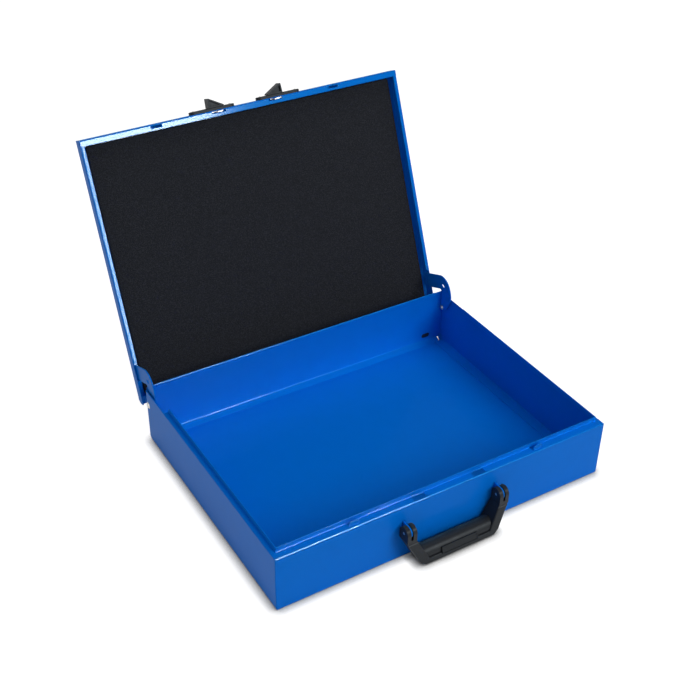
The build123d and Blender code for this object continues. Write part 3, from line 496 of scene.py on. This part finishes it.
def soft_box(name, place, target, width, height, power):
    """A rectangular area lamp aimed at a point."""
    place, target = Vector(place), Vector(target)
    bpy.ops.object.select_all(action="DESELECT")
    bpy.ops.object.light_add(type="AREA", location=place)
    lamp = bpy.context.object
    lamp.name = name
    lamp.rotation_euler = (target - place).to_track_quat("-Z", "Y").to_euler()
    lamp.data.shape = "RECTANGLE"
    lamp.data.size = width
    lamp.data.size_y = height
    lamp.data.energy = power
    return lamp


def glint_box(name, middle, width, height, power, nodes):
    """A soft box square to the front, at this x and z, that only the gloss of these CAD nodes reflects."""
    x, z = middle
    lamp = soft_box(name, (x, GLINT_PLANE, z), (x, 0, z), width, height, power)
    lamp.data.color = GLINT_TINT
    lamp.visible_diffuse = False
    seen_in = bpy.data.collections.new(name + "_seen_in")
    for node in nodes:
        seen_in.objects.link(frame["nodes"][node])
    lamp.light_linking.receiver_collection = seen_in


class CASE_OT_studio(Operator):
    """White floor and room, soft lamps and the camera"""
    bl_idname = "steel_case.studio"
    bl_label = "Studio"

    def execute(self, context):
        settings = context.scene.case_studio
        bpy.ops.object.select_all(action="DESELECT")
        bpy.ops.mesh.primitive_circle_add(vertices=96, radius=6, fill_type="NGON", location=(0, 0, -0.0002))
        floor = context.object
        floor.name = "studio_floor"
        bpy.ops.object.transform_apply(location=True, rotation=True, scale=True)
        floor.data.materials.append(floor_finish(settings))
        room(settings.sky)
        middle = (0, 0, 0.1)
        soft_box("key_soft_box", (0.9, -2.2, 1.7), middle, 1.4, 1.0, settings.key)
        soft_box("top_soft_box", (0.2, 0.3, 2.4), middle, 1.6, 1.2, settings.top)
        soft_box("side_soft_box", (-2.2, 0.1, 0.28), (0, 0, 0.05), 1.6, 0.45, settings.side)
        glint_box("fold_glint", (0.7, 1.4), 0.85, 2.2, settings.glint * 9, ["base_tray"])
        glint_box("flange_glint", (0.78, 1.25), 0.7, 0.26, settings.glint, ["lid_tray"])
        glint_box("end_glint", (0.6, 0.78), 0.5, 1.1, settings.glint * 1.4, ["lid_end_left", "lid_end_right"])
        bpy.ops.object.camera_add(location=settings.camera_place)
        camera = context.object
        camera.name = "photo_camera"
        turn = Matrix.Rotation(-settings.camera_heading, 3, "Z")
        tilt = Matrix.Rotation(radians(90) - settings.camera_pitch, 3, "X")
        roll = Matrix.Rotation(settings.camera_roll, 3, "Z")
        camera.rotation_euler = (turn @ tilt @ roll).to_euler()
        camera.data.sensor_width = 36
        camera.data.lens = settings.lens
        camera.data.clip_start = 0.05
        camera.data.clip_end = 30
        context.scene.camera = camera
        context.scene.view_settings.view_transform = "Standard"
        return {"FINISHED"}


class CASE_PT_sidebar(Panel):
    """The case's finishes, foam and studio, and the buttons that make them"""
    bl_label = "Steel Case"
    bl_idname = "CASE_PT_sidebar"
    bl_space_type = "VIEW_3D"
    bl_region_type = "UI"
    bl_category = "Steel Case"

    def draw(self, context):
        for settings, operators in STEPS:
            box = self.layout.box()
            group = getattr(context.scene, settings)
            for name in group.bl_rna.properties.keys():
                if name not in ("rna_type", "name"):
                    box.prop(group, name)
            for operator in operators:
                box.operator(operator.bl_idname)


STEPS = (
    ("case_powder_coat", (CASE_OT_powder_coat,)),
    ("case_hardware", (CASE_OT_zinc_hardware, CASE_OT_moulded_plastic)),
    ("case_foam_pad", (CASE_OT_foam_pad,)),
    ("case_studio", (CASE_OT_studio,)),
)
GROUPS = {
    "case_powder_coat": PowderCoatSettings,
    "case_hardware": HardwareSettings,
    "case_foam_pad": FoamPadSettings,
    "case_studio": StudioSettings,
}
CLASSES = (*GROUPS.values(), *(operator for _, operators in STEPS for operator in operators), CASE_PT_sidebar)


def register():
    for kind in CLASSES:
        bpy.utils.register_class(kind)
    for name, group in GROUPS.items():
        setattr(bpy.types.Scene, name, PointerProperty(type=group))


def unregister():
    for name in GROUPS:
        delattr(bpy.types.Scene, name)
    for kind in reversed(CLASSES):
        bpy.utils.unregister_class(kind)


def main():
    register()
    bpy.ops.steel_case.powder_coat()
    bpy.ops.steel_case.zinc_hardware()
    bpy.ops.steel_case.moulded_plastic()
    bpy.ops.steel_case.foam_pad()
    bpy.ops.steel_case.studio()


if __name__ == "__main__":
    main()
